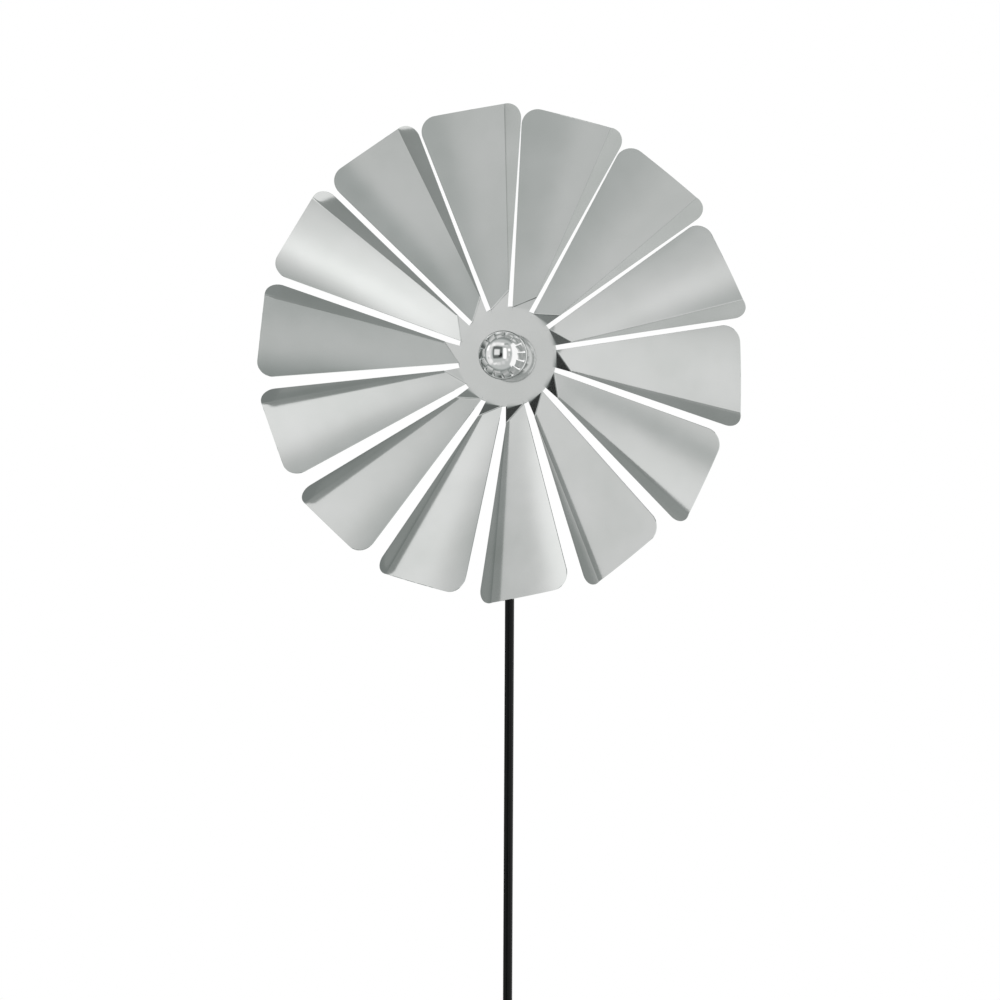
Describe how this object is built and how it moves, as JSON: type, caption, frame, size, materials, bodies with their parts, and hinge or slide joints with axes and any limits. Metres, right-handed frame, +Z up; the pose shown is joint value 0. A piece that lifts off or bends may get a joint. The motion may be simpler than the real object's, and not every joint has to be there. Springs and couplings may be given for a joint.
{
  "type": "garden windmill",
  "caption": "Garden windmill: a folded steel blade wheel with a polished ball nut, turning on ball bearings at the top of a slim black ground stake.",
  "frame": {"origin": "where the stake's axis meets the ground", "axes": "+Z up along the stake, wheel faces -Y, +X to the right seen from the front"},
  "size_m": [0.5122, 0.136, 1.7603],
  "materials": {
    "satin_steel": "satin",
    "polished_steel": "polished",
    "black_paint": "satin",
    "zinc_steel": "satin",
    "bearing_steel": "polished",
    "turned_aluminium": "satin",
    "black_plastic": "matte",
    "cage_plastic": "matte"
  },
  "bodies": {
    "stake": {"lower_rod": "black_paint", "upper_rod": "black_paint", "rod_stud": "zinc_steel", "bearing_housing": "black_paint", "clamp_screws": "zinc_steel", "front_outer_ring": "bearing_steel", "rear_outer_ring": "bearing_steel", "front_shields": "bearing_steel", "rear_shields": "bearing_steel", "front_circlip": "zinc_steel", "rear_circlip": "zinc_steel", "rear_cap": "black_plastic"},
    "wheel": {"wheel_sheet": "satin_steel", "ball_nut": "polished_steel", "ball_bush": "zinc_steel", "front_washer": "zinc_steel", "hub_flange": "turned_aluminium", "axle": "zinc_steel", "front_inner_ring": "bearing_steel", "rear_inner_ring": "bearing_steel", "spacer_sleeve": "turned_aluminium", "rear_washer": "zinc_steel", "lock_nut": "zinc_steel"},
    "front_ball_train": {"front_cage": "cage_plastic", "front_balls": "bearing_steel"},
    "rear_ball_train": {"rear_cage": "cage_plastic", "rear_balls": "bearing_steel"}
  },
  "joints": [
    {"name": "wheel_spin", "type": "hinge", "parent": "stake", "child": "wheel", "pos_m": [0, 0, 1.25], "axis": [0, 1, 0], "continuous": true},
    {"name": "front_ball_train_spin", "type": "hinge", "parent": "stake", "child": "front_ball_train", "pos_m": [0, -0.0113, 1.25], "axis": [0, 1, 0], "continuous": true},
    {"name": "rear_ball_train_spin", "type": "hinge", "parent": "stake", "child": "rear_ball_train", "pos_m": [0, 0.0113, 1.25], "axis": [0, 1, 0], "continuous": true}
  ],
  "couplings": [
    {"joint": "front_ball_train_spin", "follows": "wheel_spin", "ratio": 0.3677},
    {"joint": "rear_ball_train_spin", "follows": "wheel_spin", "ratio": 0.3677}
  ]
}
